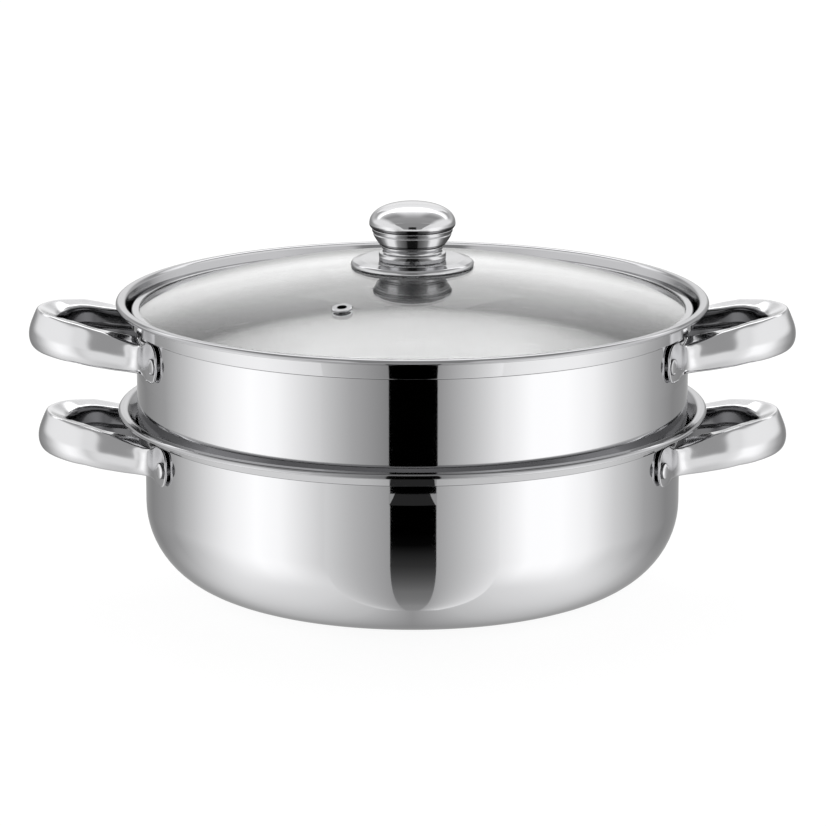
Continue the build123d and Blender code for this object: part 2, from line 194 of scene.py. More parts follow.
# %% [markdown]
# ## The floor
# The pot stands on a plain white floor. It glows most of its white by itself and takes only a little
# light, so that it stays white in the picture and still keeps the pot's soft shadow. The steel's
# reflections come from the room, as they do on a shop's cut-out picture, so the floor is left out
# of them.

# %% Make the floor
floor_mesh = bpy.data.meshes.new("studio_floor")
floor_half = 6.0
corners = [(-floor_half, -floor_half, 0), (floor_half, -floor_half, 0), (floor_half, floor_half, 0),
           (-floor_half, floor_half, 0)]
floor_mesh.from_pydata(corners, [], [(0, 1, 2, 3)])
studio_floor = bpy.data.objects.new("studio_floor", floor_mesh)
bpy.context.collection.objects.link(studio_floor)
floor_white = bpy.data.materials.new("floor_white")
floor_white.use_nodes = True
tree = floor_white.node_tree
tree.nodes.clear()
matt = add(tree, "ShaderNodeBsdfDiffuse", {"Color": (0.24, 0.24, 0.24, 1)})
glow = add(tree, "ShaderNodeEmission", {"Color": (1, 1, 1, 1), "Strength": 0.86})
both = add(tree, "ShaderNodeAddShader", {0: matt.outputs[0], 1: glow.outputs[0]})
add(tree, "ShaderNodeOutputMaterial", {"Surface": both.outputs[0]})
floor_mesh.materials.append(floor_white)
studio_floor.visible_glossy = False
print("floor ready")

# %% [markdown]
# ## Cards that only the steel sees
# The dark stripe down the front of both walls is the reflection of a narrow black card. It stands
# close to the pot, between pale grey strips that brighten outwards, so the handles look past it and
# stay pale. The black thins out downwards, which fades the stripe where the pot's wall turns under.
# Only mirror reflections see the cards, and only from the side where they are coloured.

# %% Finishes of the cards
def card_finish(name):
    """Starts a card's finish. Gives its tree and its place across, along and up in millimetres."""
    made = bpy.data.materials.new(name)
    made.use_nodes = True
    made.node_tree.nodes.clear()
    spot = add(made.node_tree, "ShaderNodeTexCoord").outputs["Object"]
    parts = add(made.node_tree, "ShaderNodeSeparateXYZ", {0: spot})
    return made, made.node_tree, [maths(made.node_tree, "MULTIPLY", out, 1 / mm) for out in parts.outputs]


def finish_card(tree, level):
    """Ends a card's finish: it glows on its front and lets light through from its back."""
    glow = add(tree, "ShaderNodeEmission", {"Color": level, "Strength": room_strength})
    clear = add(tree, "ShaderNodeBsdfTransparent")
    from_back = add(tree, "ShaderNodeNewGeometry").outputs["Backfacing"]
    sides = add(tree, "ShaderNodeMixShader", {0: from_back, 1: glow.outputs[0], 2: clear.outputs[0]})
    add(tree, "ShaderNodeOutputMaterial", {"Surface": sides.outputs[0]})


card_half = 76.0
card_foot = -600.0
card_top = 141.0
card_ahead = -175.0
stripe_middle = 0.65
stripe_half = 17.75
steamer_shades = [(-76, 198), (-46, 160), (-17, 126), (18, 140), (45, 186), (76, 229)]
pot_shades = [(-76, 202), (-46, 173), (-17, 146), (18, 153), (45, 189), (76, 224)]
stripe_shades = [(-600, 138), (-157, 130), (-22, 104), (18, 67), (32, 50), (42, 13), (49, 0), (141, 0)]
stripe_paper, tree, (across, along, upright) = card_finish("stripe_paper")
high_stops = [(x, room_level(s)) for x, s in steamer_shades]
high_grey = grey_ramp(tree, across, high_stops, -card_half, card_half)
low_stops = [(x, room_level(s)) for x, s in pot_shades]
low_grey = grey_ramp(tree, across, low_stops, -card_half, card_half)
pale = blend(tree, fade(tree, upright, 70, 84), low_grey, high_grey)
stripe = grey_ramp(tree, upright, [(z, room_level(s)) for z, s in stripe_shades], card_foot, card_top)
off_middle = maths(tree, "ABSOLUTE", maths(tree, "SUBTRACT", across, stripe_middle))
in_stripe = maths(tree, "LESS_THAN", off_middle, stripe_half)
finish_card(tree, blend(tree, in_stripe, pale, stripe))

cap_paper, tree, (across, along, upright) = card_finish("cap_paper")
spot_half = 11.8
spot_top = 205.0
spot_beside = maths(tree, "LESS_THAN", maths(tree, "ABSOLUTE", across), spot_half)
spot = maths(tree, "MULTIPLY", spot_beside, maths(tree, "LESS_THAN", upright, spot_top))
finish_card(tree, blend(tree, spot, room_level(136), room_level(40)))

back_paper, tree, (across, along, upright) = card_finish("back_paper")
back_glow = 1.4
finish_card(tree, maths(tree, "MULTIPLY", back_glow, 1 / room_strength))

knob_shades = [
    (0, 26), (11, 30), (13, 80), (24, 112), (34, 145), (43, 250), (60, 250), (74, 150), (90, 95), (180, 62),
]
knob_paper, tree, (across, along, upright) = card_finish("knob_paper")
round_knob = maths(tree, "ARCTAN2", across, maths(tree, "MULTIPLY", along, -1.0))
round_knob = maths(tree, "MULTIPLY", maths(tree, "ABSOLUTE", round_knob), 180 / math.pi)
finish_card(tree, grey_ramp(tree, round_knob, [(b, room_level(s)) for b, s in knob_shades], 0, 180))

screen_paper, tree, (across, along, upright) = card_finish("screen_paper")
mirror_bearing = maths(tree, "ARCTAN2", across, maths(tree, "MULTIPLY", along, -1.0))
mirror_bearing = maths(tree, "MULTIPLY", mirror_bearing, 2 * 180 / math.pi)
finish_card(tree, grey_ramp(tree, mirror_bearing, [(b, room_level(s)) for b, s in wall_shades], -180, 180))
print("card finishes ready")

# %% [markdown]
# The knob is small, so its surroundings are cards too: a flat ring under its bowl, dark in front with
# a bright patch on either side, and a grey card before the cap, wider upwards, with a black spot at
# its foot.
# One more card hangs over the back of the rim and makes the far flare pale, and a small black one
# lies before the pot's rim. Two curved screens stand behind the pot's handles and keep their bright
# tops out of the steamer's wall.


# %% Stand the cards
def reflected_card(name, rows, finish):
    """A card from rows of corners that only mirror reflections see."""
    grid = np.array(rows, float) * mm
    count_rows, count = grid.shape[:2]
    index = np.arange(count_rows * count).reshape(count_rows, count)
    quads = np.stack([index[:-1, :-1], index[:-1, 1:], index[1:, 1:], index[1:, :-1]], -1).reshape(-1, 4)
    mesh = bpy.data.meshes.new(name)
    mesh.from_pydata(grid.reshape(-1, 3).tolist(), [], quads.tolist())
    mesh.materials.append(finish)
    card = bpy.data.objects.new(name, mesh)
    bpy.context.collection.objects.link(card)
    card.visible_camera = False
    card.visible_diffuse = False
    card.visible_transmission = False
    card.visible_shadow = False


def arc_row(radius, height, start, end, count):
    """Places on a circle round the axis, between two bearings from the front."""
    turn = np.radians(np.linspace(start, end, count))
    return np.stack([radius * np.sin(turn), -radius * np.cos(turn), np.full(count, height)], -1)


def ring_card(name, inner, outer, start, end, count, finish):
    """A card between two arcs, each given as a radius and a height."""
    reflected_card(name, [arc_row(*inner, start, end, count), arc_row(*outer, start, end, count)], finish)


stripe_rows = [
    [(card_half, card_ahead, height), (-card_half, card_ahead, height)] for height in (card_foot, card_top)
]
reflected_card("stripe_card", stripe_rows, stripe_paper)
ring_card("knob_ring", (17.0, 168.4), (90.0, 168.4), 180, -180, 73, knob_paper)
cap_card_ahead = -75.0
cap_card_outline = [(27, 184), (37, 199), (59, 221), (80, 242), (92, 258)]
cap_rows = [
    [(half, cap_card_ahead, height), (-half, cap_card_ahead, height)] for half, height in cap_card_outline
]
reflected_card("cap_card", cap_rows, cap_paper)
ring_card("back_card", (60.0, 240.0), (150.0, 240.0), 148, 212, 48, back_paper)
rim_card_rows = [[(12.4, -140, 72), (-11.9, -140, 72)], [(16.4, -162, 72), (-15.8, -162, 72)]]
reflected_card("rim_card", rim_card_rows, cap_paper)
for name, start, end in (("left_screen", -52, -92), ("right_screen", 92, 52)):
    ring_card(name, (143.2, 94.0), (143.2, 108.0), start, end, 24, screen_paper)
print("cards ready")

# %% [markdown]
# ## Finishes
# Stainless sheet is polished to a mirror outside. Under a lens it still has faint turning marks and
# hair scratches, so its roughness wanders a little. Inside, the maker leaves it satin: fine rings
# left by the abrasive while the vessel spins. Noise that reads only the distance from the axis and
# the height gives such rings on walls and floors alike. The rim's hollow, the crease under the flare
# and the inner side of the handles are painted near-black: painted shade where these places stay
# dim. The flare, the lip and the lid's band get darker copies of the polished steel, which paint
# shade into their reflections. A metal's edge tint keeps the outline of the knob grey against the
# white floor.


# %% Helpers for finishes
def new_finish(name, **values):
    """A material with one main shader, whose plain numbers are set on the shader itself."""
    made = bpy.data.materials.new(name)
    made.use_nodes = True
    shader = made.node_tree.nodes["Principled BSDF"]
    for key, value in values.items():
        shader.inputs[key.replace("_", " ")].default_value = value
    return made, made.node_tree, shader


def ring_place(tree):
    """Distance from the axis and height as a place for noise, so that its grain runs in rings."""
    spot = add(tree, "ShaderNodeTexCoord").outputs["Object"]
    parts = add(tree, "ShaderNodeSeparateXYZ", {0: spot})
    flat_spot = add(tree, "ShaderNodeCombineXYZ", {0: parts.outputs[0], 1: parts.outputs[1]})
    reach = add(tree, "ShaderNodeVectorMath", {0: flat_spot.outputs[0]}, operation="LENGTH")
    turn = maths(tree, "MULTIPLY", maths(tree, "ARCTAN2", parts.outputs[1], parts.outputs[0]), 0.002)
    place = add(tree, "ShaderNodeCombineXYZ", {0: reach.outputs["Value"], 1: parts.outputs[2], 2: turn})
    return place.outputs[0]


def noise(tree, place, scale, detail=2.0, roughness=0.5):
    """Soft noise between 0 and 1."""
    made = add(
        tree, "ShaderNodeTexNoise",
        {"Vector": place, "Scale": scale, "Detail": detail, "Roughness": roughness},
    )
    return made.outputs["Fac"]


def spread(tree, source, low, high):
    """Maps noise, which keeps near its middle, to a range of values."""
    made = add(
        tree, "ShaderNodeMapRange",
        {"Value": source, "From Min": 0.3, "From Max": 0.7, "To Min": low, "To Max": high},
    )
    return made.outputs["Result"]


def relief(tree, shader, height, depth):
    """Adds a fine relief to a finish, with its depth in metres."""
    bump = add(tree, "ShaderNodeBump", {"Height": height, "Distance": depth, "Strength": 1.0})
    tree.links.new(bump.outputs[0], shader.inputs["Normal"])


print("finish helpers ready")


# %% Steel finishes
def polished_steel(name, colour, smooth, worn, ring_depth):
    """Mirror steel: roughness wanders between two values and faint turning rings bend reflections."""
    made, tree, shader = new_finish(
        name, Metallic=1.0, Base_Color=colour, Specular_Tint=(0.7, 0.7, 0.7, 1)
    )
    spot = add(tree, "ShaderNodeTexCoord").outputs["Object"]
    smear = noise(tree, spot, 38.0, 3.0)
    hair = noise(tree, ring_place(tree), 2600.0, 2.0, 0.6)
    mixed = maths(tree, "ADD", maths(tree, "MULTIPLY", smear, 0.6), maths(tree, "MULTIPLY", hair, 0.4))
    tree.links.new(spread(tree, mixed, smooth, worn), shader.inputs["Roughness"])
    relief(tree, shader, hair, ring_depth)
    return made


def satin_steel(name, colour, smooth, worn, ring_depth):
    """Satin steel: clear abrasive rings in colour, roughness and relief, stretched along the turn."""
    made, tree, shader = new_finish(name, Metallic=1.0, Anisotropic=0.35)
    place = ring_place(tree)
    rings = noise(tree, place, 1500.0, 4.0, 0.7)
    broad = noise(tree, place, 160.0, 2.0)
    mixed = maths(tree, "ADD", maths(tree, "MULTIPLY", rings, 0.7), maths(tree, "MULTIPLY", broad, 0.3))
    tone = add(tree, "ShaderNodeMix", {0: spread(tree, mixed, 0.0, 1.0)}, data_type="RGBA")
    tone.inputs[6].default_value = tuple(0.9 * c for c in colour[:3]) + (1,)
    tone.inputs[7].default_value = colour
    tree.links.new(tone.outputs[2], shader.inputs["Base Color"])
    tree.links.new(spread(tree, rings, smooth, worn), shader.inputs["Roughness"])
    relief(tree, shader, mixed, ring_depth)
    return made


mirror_outside = polished_steel("mirror_outside", (0.68, 0.68, 0.69, 1), 0.04, 0.07, 2e-8)
# A darker copy of the mirror steel for the inside of the flare and the lip: painted shade that dims their
# reflections.
rim_steel_painted_shade = polished_steel("rim_steel_painted_shade", (0.46, 0.46, 0.47, 1), 0.06, 0.12, 1e-7)
handle_mirror = polished_steel("handle_mirror", (0.68, 0.68, 0.69, 1), 0.10, 0.16, 4e-8)
# Near-black steel: painted shade for the rim's hollow, the crease under the flare, the handles' inner sides,
# the rivets' edges, the spacers and the knob's joints.
painted_shade_steel = polished_steel("painted_shade_steel", (0.17, 0.17, 0.175, 1), 0.08, 0.18, 2e-7)
knob_polish = polished_steel("knob_polish", (0.64, 0.64, 0.65, 1), 0.06, 0.11, 2e-7)
turned_polish = polished_steel("turned_polish", (0.55, 0.55, 0.56, 1), 0.09, 0.15, 6e-7)
# A darker copy of the mirror steel for the lid's band and the eyelet: painted shade that dims their
# reflections.
band_steel_painted_shade = polished_steel("band_steel_painted_shade", (0.50, 0.50, 0.51, 1), 0.06, 0.12, 1e-7)
satin_inside = satin_steel("satin_inside", (0.50, 0.50, 0.505, 1), 0.22, 0.28, 2e-7)
fastener_satin = satin_steel("fastener_satin", (0.55, 0.55, 0.56, 1), 0.18, 0.30, 1e-6)
rivet_polish = polished_steel("rivet_polish", (0.70, 0.70, 0.71, 1), 0.10, 0.18, 1e-7)
print("steel finishes:", 10)

# %% Glass and rubber finishes
clear_glass, tree, shader = new_finish(
    "clear_glass", Base_Color=(0.985, 0.99, 0.988, 1), Transmission_Weight=1.0, IOR=1.5, Roughness=0.0
)
spot = add(tree, "ShaderNodeTexCoord").outputs["Object"]
film = noise(tree, spot, 22.0, 3.0)
tree.links.new(spread(tree, film, 0.0, 0.03), shader.inputs["Roughness"])
relief(tree, shader, noise(tree, spot, 9.0, 1.0), 6e-6)

dark_rubber, tree, shader = new_finish("dark_rubber", Specular_IOR_Level=0.35)
spot = add(tree, "ShaderNodeTexCoord").outputs["Object"]
bloom = noise(tree, spot, 260.0, 3.0)
tone = add(tree, "ShaderNodeMix", {0: spread(tree, bloom, 0.0, 1.0)}, data_type="RGBA")
tone.inputs[6].default_value = (0.018, 0.018, 0.019, 1)
tone.inputs[7].default_value = (0.035, 0.035, 0.036, 1)
tree.links.new(tone.outputs[2], shader.inputs["Base Color"])
tree.links.new(spread(tree, bloom, 0.45, 0.65), shader.inputs["Roughness"])
relief(tree, shader, noise(tree, spot, 1400.0, 2.0), 2e-5)
print("glass and rubber ready")

# %% [markdown]
# ## Surfaces from grids
# Every piece here is a grid of places: one number runs along a profile, the other round the piece.
# Blender's spin tool could turn the profiles, but whole arrays let the exact surface direction be
# worked out as well. Mirror steel shows the smallest error of direction, so it matters here.


# %% Turn grids into a mesh
def piece_from_grids(name, grids, finishes, exact=True):
    """Joins grids into one mesh object.

    A grid is (places, directions, finish): rows by columns of places in millimetres and of unit
    directions out of the surface. Four neighbours make a face. Places that coincide become one
    point, so seams close; a face whose corners run together at a pole loses the doubled corner.
    A grid whose faces look against its directions is turned over.
    """
    places = np.concatenate([g[0].reshape(-1, 3) for g in grids])
    directions = np.concatenate([g[1].reshape(-1, 3) for g in grids])
    faces = []
    kinds = []
    start = 0
    for points, normals, finish in grids:
        rows, columns = points.shape[:2]
        index = np.arange(rows * columns).reshape(rows, columns) + start
        quads = np.stack([index[:-1, :-1], index[:-1, 1:], index[1:, 1:], index[1:, :-1]], -1).reshape(-1, 4)
        corner = places[quads]
        looks = np.cross(corner[:, 2] - corner[:, 0], corner[:, 3] - corner[:, 1])
        wanted = directions[quads].sum(1)
        if (looks * wanted).sum() < 0:
            quads = quads[:, ::-1]
        faces.append(quads)
        finish = np.asarray(finish)
        if finish.ndim < 2:
            finish = finish.reshape(-1, 1)
        kinds.append(np.broadcast_to(finish, (rows - 1, columns - 1)).ravel())
        start += rows * columns
    faces = np.concatenate(faces)
    kinds = np.concatenate(kinds)
    cells = np.floor(places * 1000 + 0.37).astype(np.int64)
    _, first, joined = np.unique(cells, axis=0, return_index=True, return_inverse=True)
    faces = joined.ravel()[faces]
    kept = faces != np.roll(faces, -1, axis=1)
    sizes = kept.sum(1)
    whole = sizes >= 3
    loops = faces[whole][kept[whole]]
    sizes = sizes[whole]
    mesh = bpy.data.meshes.new(name)
    mesh.vertices.add(len(first))
    mesh.vertices.foreach_set("co", (places[first] * mm).ravel())
    mesh.loops.add(len(loops))
    mesh.loops.foreach_set("vertex_index", loops)
    mesh.polygons.add(len(sizes))
    mesh.polygons.foreach_set("loop_start", np.cumsum(sizes) - sizes)
    for finish in finishes:
        mesh.materials.append(finish)
    mesh.polygons.foreach_set("material_index", kinds[whole])
    mesh.polygons.foreach_set("use_smooth", np.ones(len(sizes), bool))
    mesh.update(calc_edges=True)
    mesh.validate()
    if exact:
        mesh.normals_split_custom_set_from_vertices(directions[first])
    piece = bpy.data.objects.new(name, mesh)
    bpy.context.collection.objects.link(piece)
    print(name, "points", len(first), "faces", len(sizes))
    return piece


def settle(piece, body, slot, *nodes):
    """Hangs a finished piece on its CAD body and lets it stand for CAD nodes; the slot is not used."""
    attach(piece, body)
    if nodes:
        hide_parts(*nodes)


# %% [markdown]
# ## Lines that sheet metal follows
# A pressed vessel is a straight-sided line with bends in it, turned about the axis. The line is given
# by its corners and the radius of each bend. The sheet's other face is the same line moved by the
# sheet's thickness, so a bend that is tight outside is wide inside.


# %% Profiles with bends
def rounded_line(points, bends, step=7.5):
    """Follows straight runs between corners and turns each corner on an arc.

    The arc starts before the corner by radius times the tangent of half the turn. Its centre is
    one radius to the side that the line turns to. Gives places, and directions square to the
    line on its right-hand side.
    """
    points = np.asarray(points, float)
    runs = np.diff(points, axis=0)
    runs /= np.hypot(runs[:, 0], runs[:, 1])[:, None]
    angles = np.arctan2(runs[:, 1], runs[:, 0])
    places = [points[:1]]
    headings = [angles[:1]]
    for k, radius in enumerate(bends):
        turn = (angles[k + 1] - angles[k] + math.pi) % (2 * math.pi) - math.pi
        side = 1 if turn > 0 else -1
        count = max(3, int(abs(math.degrees(turn)) / step) + 1)
        heading = angles[k] + turn * np.linspace(0, 1, count + 1)
        begin = points[k + 1] - runs[k] * radius * math.tan(abs(turn) / 2)
        centre = begin + side * radius * np.array([-math.sin(angles[k]), math.cos(angles[k])])
        arc = centre - side * radius * np.stack([-np.sin(heading), np.cos(heading)], -1)
        places.append(arc)
        headings.append(heading)
    places.append(points[-1:])
    headings.append(angles[-1:])
    heading = np.concatenate(headings)
    return np.concatenate(places), np.stack([np.sin(heading), -np.cos(heading)], -1)


def bent_sheet(points, bends, thickness):
    """Outline of a bent sheet: out along its line, round its edge and back along its other face.

    The other face's corners lie where the moved runs meet: the corner plus the thickness times
    the sum of both left-hand directions, divided by one plus the cosine of the turn.
    """
    points = np.asarray(points, float)
    bends = np.asarray(bends, float)
    runs = np.diff(points, axis=0)
    runs /= np.hypot(runs[:, 0], runs[:, 1])[:, None]
    left = np.stack([-runs[:, 1], runs[:, 0]], -1)
    cosine = (runs[:-1] * runs[1:]).sum(1)
    turns_left = (left[:-1] * runs[1:]).sum(1) > 0
    back = points.copy()
    back[0] += thickness * left[0]
    back[-1] += thickness * left[-1]
    back[1:-1] += thickness * (left[:-1] + left[1:]) / (1 + cosine)[:, None]
    back_bends = np.maximum(bends + np.where(turns_left, -thickness, thickness), 0.12)
    edge = [thickness * 0.48, thickness * 0.48]
    outline = np.concatenate([points, back[::-1]])
    return outline, np.concatenate([bends, edge, back_bends[::-1]])


def closed_ring(points, bends, step=7.5):
    """A closed outline with every corner rounded, started half-way along its last side."""
    points = np.asarray(points, float)
    middle = (points[:1] + points[-1:]) / 2
    return rounded_line(np.concatenate([middle, points, middle]), bends, step)


def turned(line, count=256):
    """Turns a line of radius and height about the upright axis.

    x is the radius times the cosine of the turn, y the radius times its sine, z the height.
    """
    places, normals = line
    turn = np.arange(count + 1) * 2 * math.pi / count
    cosine, sine = np.cos(turn), np.sin(turn)
    points = np.stack([
        places[:, :1] * cosine, places[:, :1] * sine, np.repeat(places[:, 1:], count + 1, 1)
    ], -1)
    outward = np.stack([
        normals[:, :1] * cosine, normals[:, :1] * sine, np.repeat(normals[:, 1:], count + 1, 1)
    ], -1)
    return points, outward


print("profile helpers ready")

# %% [markdown]
# ## The two vessels
# The pot has a flat base, a large rounded corner and an upright wall. At its rim the sheet steps out
# into a ledge, flares, and ends in a rolled-over lip. The steamer tier has the same rim, and a foot
# that drops into the pot while its step sits on the pot's ledge.

# %% Measures of both vessels, in millimetres
sheet = 0.8
pot_radius = 136.7
steamer_radius = 140.5
rim_bends = [0.5, 0.9, 1.6, 0.9]


def rim_line(wall, ledge, ledge_width, flare_width, flare_rise, lip_width, lip_fall, hem):
    """Corners of a stepped rim, from the top of the wall to the hem of the lip."""
    groove = wall + ledge_width
    crown = groove + flare_width
    edge = crown + lip_width - sheet
    top = ledge + flare_rise
    lip = top - lip_fall
    return [(wall, ledge), (groove, ledge), (crown, top), (edge, lip), (edge, lip - hem)]


def vessel_strips(line, wall):
    """Finish of each strip of a vessel, by where it lies and which way it looks.

    0 is the mirror outside, 1 the satin inside, and 2 the flare and the lip, in a darker copy of the
    polished steel that paints shade. 3 is near-black painted shade: the rim's hollow, and the narrow
    crease under the flare.
    """
    places, looks = line
    strips = np.arange(len(places) - 1)
    lip = int(np.argmax(places[:, 0]))
    radius = places[:-1, 0]
    inside = np.where(radius > wall + 2.8, 2, np.where(radius > wall - 0.5, 3, 1))
    crease = (looks[:-1, 1] < -0.63) & (radius > wall - 0.6)
    return np.where(strips < lip, np.where(crease, 3, 0), inside)


pot_corners = [(0, 0), (pot_radius, 0)] + rim_line(pot_radius, 83.2, 3.7, 5.9, 7.9, 4.0, 0.5, 1.5)
outline, bends = bent_sheet(pot_corners, [42.5] + rim_bends, sheet)
pot_line = rounded_line(outline, bends, 5.0)
points, normals = turned(pot_line, 288)
pot_shell = piece_from_grids(
    "pot_shell_skin", [(points, normals, vessel_strips(pot_line, pot_radius))],
    [mirror_outside, satin_inside, rim_steel_painted_shade, painted_shade_steel],
)
settle(pot_shell, "pot", "vessel_steel", "pot_shell")

# %% [markdown]
# The steamer's floor is pierced with rings of steam holes: one in the middle and six more in each
# ring outwards. Cutting them with booleans is slow and spoils the exact directions, so the floor is
# a net of cells instead, one round each hole. Neighbouring cells share their outline's points.


# %% The pierced floor
def floor_cells(ring, pitch, inner_step, outer_step, side_steps):
    """Outlines of the cells of one ring, in half degrees: inner arc, side, outer arc and side back."""
    span = 120 // ring
    radius_in = (ring - 0.5) * pitch
    radius_out = (ring + 0.5) * pitch
    inner = np.arange(-span // 2, span // 2 + 1, inner_step)
    outer = np.arange(span // 2, -span // 2 - 1, -outer_step)
    rise = np.linspace(radius_in, radius_out, side_steps + 1)[1:-1]
    turn = np.concatenate([inner, np.full(len(rise), span / 2), outer, np.full(len(rise), -span / 2)])
    radius = np.concatenate([
        np.full(len(inner), radius_in), rise, np.full(len(outer), radius_out), rise[::-1]
    ])
    middles = np.arange(6 * ring) * span
    angle = (turn[None] + middles[:, None]) * math.pi / 360
    outline = np.stack([radius * np.cos(angle), radius * np.sin(angle)], -1)
    centre = ring * pitch * np.stack([np.cos(middles * math.pi / 360), np.sin(middles * math.pi / 360)], -1)
    return outline, centre


def hole_grid(outline, centre, radius, low, high, edge=0.15):
    """The floor round one hole: flat from the cell's outline to the hole, through it, and flat back.

    A place is the hole's centre plus a radius times the direction to the outline's point.
    """
    outline = np.concatenate([outline, outline[:1]])
    way = outline - centre
    way = way / np.hypot(way[:, 0], way[:, 1])[:, None]
    rows = [(None, low, (0, -1)), (radius + edge, low, (0, -1)), (radius, low + edge, (-1, 0)),
            (radius, high - edge, (-1, 0)), (radius + edge, high, (0, 1)), (None, high, (0, 1))]
    places = []
    directions = []
    for reach, height, (inward, upward) in rows:
        flat = outline if reach is None else centre + way * reach
        places.append(np.column_stack([flat, np.full(len(flat), height)]))
        directions.append(np.column_stack([way * inward, np.full(len(flat), upward)]))
    return np.array(places), np.array(directions), 1


steamer_base = 74.0
steam_hole_radius = 3.5
steam_hole_pitch = 17.0
ring_steps = {1: (10, 10), 2: (10, 10), 3: (10, 5), 4: (5, 3), 5: (3, 2)}
middle_turn = np.arange(0, 720, 10) * math.pi / 360
middle_cell = 0.5 * steam_hole_pitch * np.stack([np.cos(middle_turn), np.sin(middle_turn)], -1)
floor_grids = [hole_grid(middle_cell, np.zeros(2), steam_hole_radius, steamer_base, steamer_base + sheet)]
for ring, (inner_step, outer_step) in ring_steps.items():
    outlines, centres = floor_cells(ring, steam_hole_pitch, inner_step, outer_step, 5)
    for outline, centre in zip(outlines, centres):
        floor_grids.append(
            hole_grid(outline, centre, steam_hole_radius, steamer_base, steamer_base + sheet)
        )
print("steam holes:", len(floor_grids))

# %% The steamer tier
pierced_radius = 5.5 * steam_hole_pitch
foot_radius = 134.6
seat_height = 84.0
steamer_corners = [
    (pierced_radius, steamer_base), (foot_radius, steamer_base), (foot_radius, seat_height),
    (steamer_radius, seat_height),
] + rim_line(steamer_radius, 136.2, 3.1, 2.8, 10.4, 4.3, 0.3, 1.5)
outline, bends = bent_sheet(steamer_corners, [7.0, 0.5, 2.0] + rim_bends, sheet)
steamer_line = rounded_line(outline, bends, 7.5)
points, normals = turned(steamer_line, 360)
shell_grid = (points, normals, vessel_strips(steamer_line, steamer_radius))
steamer_shell = piece_from_grids(
    "steamer_shell_skin", [shell_grid] + floor_grids, [mirror_outside, satin_inside, rim_steel_painted_shade, painted_shade_steel]
)
settle(steamer_shell, "steamer_tier", "vessel_steel", "steamer_shell")

# %% [markdown]
# ## The lid
# The lid is a slice of a glass sphere three millimetres thick. A strip of steel is folded round its
# edge. The glass has two holes: one for the knob's screw and one for the vent's eyelet. The first
# belongs to the profile. The second is off the axis, so it is cut with a boolean under the eyelet.

# %% The glass
lid_seat = 137.0
glass_radius = 141.6
glass_rise = 23.6
glass_thickness = 3.0
glass_sphere = (glass_radius**2 + glass_rise**2) / (2 * glass_rise)
glass_apex = lid_seat + 4.0 + glass_rise
glass_centre = glass_apex - glass_sphere


def glass_face(sphere, start, end, count):
    """Part of the glass's profile: sphere radius times sine and cosine of the angle from the top."""
    angle = np.linspace(math.asin(start / sphere), math.asin(end / sphere), count)
    return np.stack([sphere * np.sin(angle), glass_centre + sphere * np.cos(angle)], -1)


under_sphere = glass_sphere - glass_thickness
top_face = glass_face(glass_sphere, 4.0, glass_radius, 90)
under_face = glass_face(under_sphere, glass_radius, 4.0, 90)
edge_face = np.linspace(top_face[-1], under_face[0], 6)[1:-1]
bore_face = np.linspace(under_face[-1], top_face[0], 6)[1:]
glass_places = np.concatenate([top_face, edge_face, under_face, bore_face])
toward = glass_places - np.array([0, glass_centre])
toward /= np.hypot(toward[:, 0], toward[:, 1])[:, None]
facing = toward.copy()
facing[len(top_face):len(top_face) + 4] = (1, 0)
facing[len(top_face) + 4:-5] *= -1
facing[-5:-1] = (-1, 0)
points, normals = turned((glass_places, facing), 256)
lid_glass = piece_from_grids("lid_glass_dome", [(points, normals, 0)], [clear_glass], exact=False)
print("glass apex", round(glass_apex, 2), "sphere", round(glass_sphere, 1))

# %% Cut the vent's hole
vent_distance = 84.3
vent_turn = math.radians(245.9)
vent_height = glass_centre + math.sqrt(glass_sphere**2 - vent_distance**2)
vent_spot = np.array([vent_distance * math.cos(vent_turn), vent_distance * math.sin(vent_turn), vent_height])
vent_up = (vent_spot - np.array([0, 0, glass_centre])) / glass_sphere
vent_side = np.cross(vent_up, (0, 0, 1))
vent_side /= np.linalg.norm(vent_side)
vent_ahead = np.cross(vent_up, vent_side)
turn = np.linspace(0, 2 * math.pi, 49)
rim = np.outer(np.cos(turn), vent_side) + np.outer(np.sin(turn), vent_ahead)
levels = [(0.0, 6.0), (3.15, 6.0), (3.15, -9.0), (0.0, -9.0)]
drill_places = np.array([vent_spot + rim * reach + vent_up * rise for reach, rise in levels])
drill_ways = np.array([rim * 0 + vent_up, rim, rim, rim * 0 - vent_up])
drill = piece_from_grids("vent_drill", [(drill_places, drill_ways, 0)], [clear_glass], exact=False)
cut = lid_glass.modifiers.new("vent_hole", "BOOLEAN")
cut.operation = "DIFFERENCE"
cut.solver = "EXACT"
cut.object = drill
pierced = bpy.data.meshes.new_from_object(lid_glass.evaluated_get(bpy.context.evaluated_depsgraph_get()))
lid_glass.modifiers.clear()
lid_glass.data = pierced
bpy.data.objects.remove(drill)
settle(lid_glass, "lid", "lid_glass", "lid_glass")
print("glass faces after the vent's hole:", len(pierced.polygons))


# %% The band round the glass
def glass_height(radius, sphere=glass_sphere):
    """Height of a face of the glass at a distance from the axis."""
    return glass_centre + math.sqrt(sphere**2 - radius**2)


band_radius = 142.8
band_inner = 138.9
band_top = lid_seat + 5.9
hold = 0.04
band_points = [
    (band_inner, lid_seat), (band_radius, lid_seat), (band_radius, band_top), (band_inner, band_top),
    (band_inner, glass_height(band_inner) + hold), (glass_radius + hold, glass_height(glass_radius) + hold),
    (glass_radius + hold, glass_height(glass_radius, under_sphere) - hold),
    (band_inner, glass_height(band_inner, under_sphere) - hold),
]
band_line = closed_ring(band_points, [0.15, 0.8, 0.8, 0.5, 0.15, 0.1, 0.1, 0.1], 10)
points, normals = turned(band_line, 288)
# The band takes the darker copy of the polished steel: painted shade that dims its reflections.
lid_band = piece_from_grids("lid_band_strip", [(points, normals, 0)], [band_steel_painted_shade])
settle(lid_band, "lid", "band_steel", "lid_band")
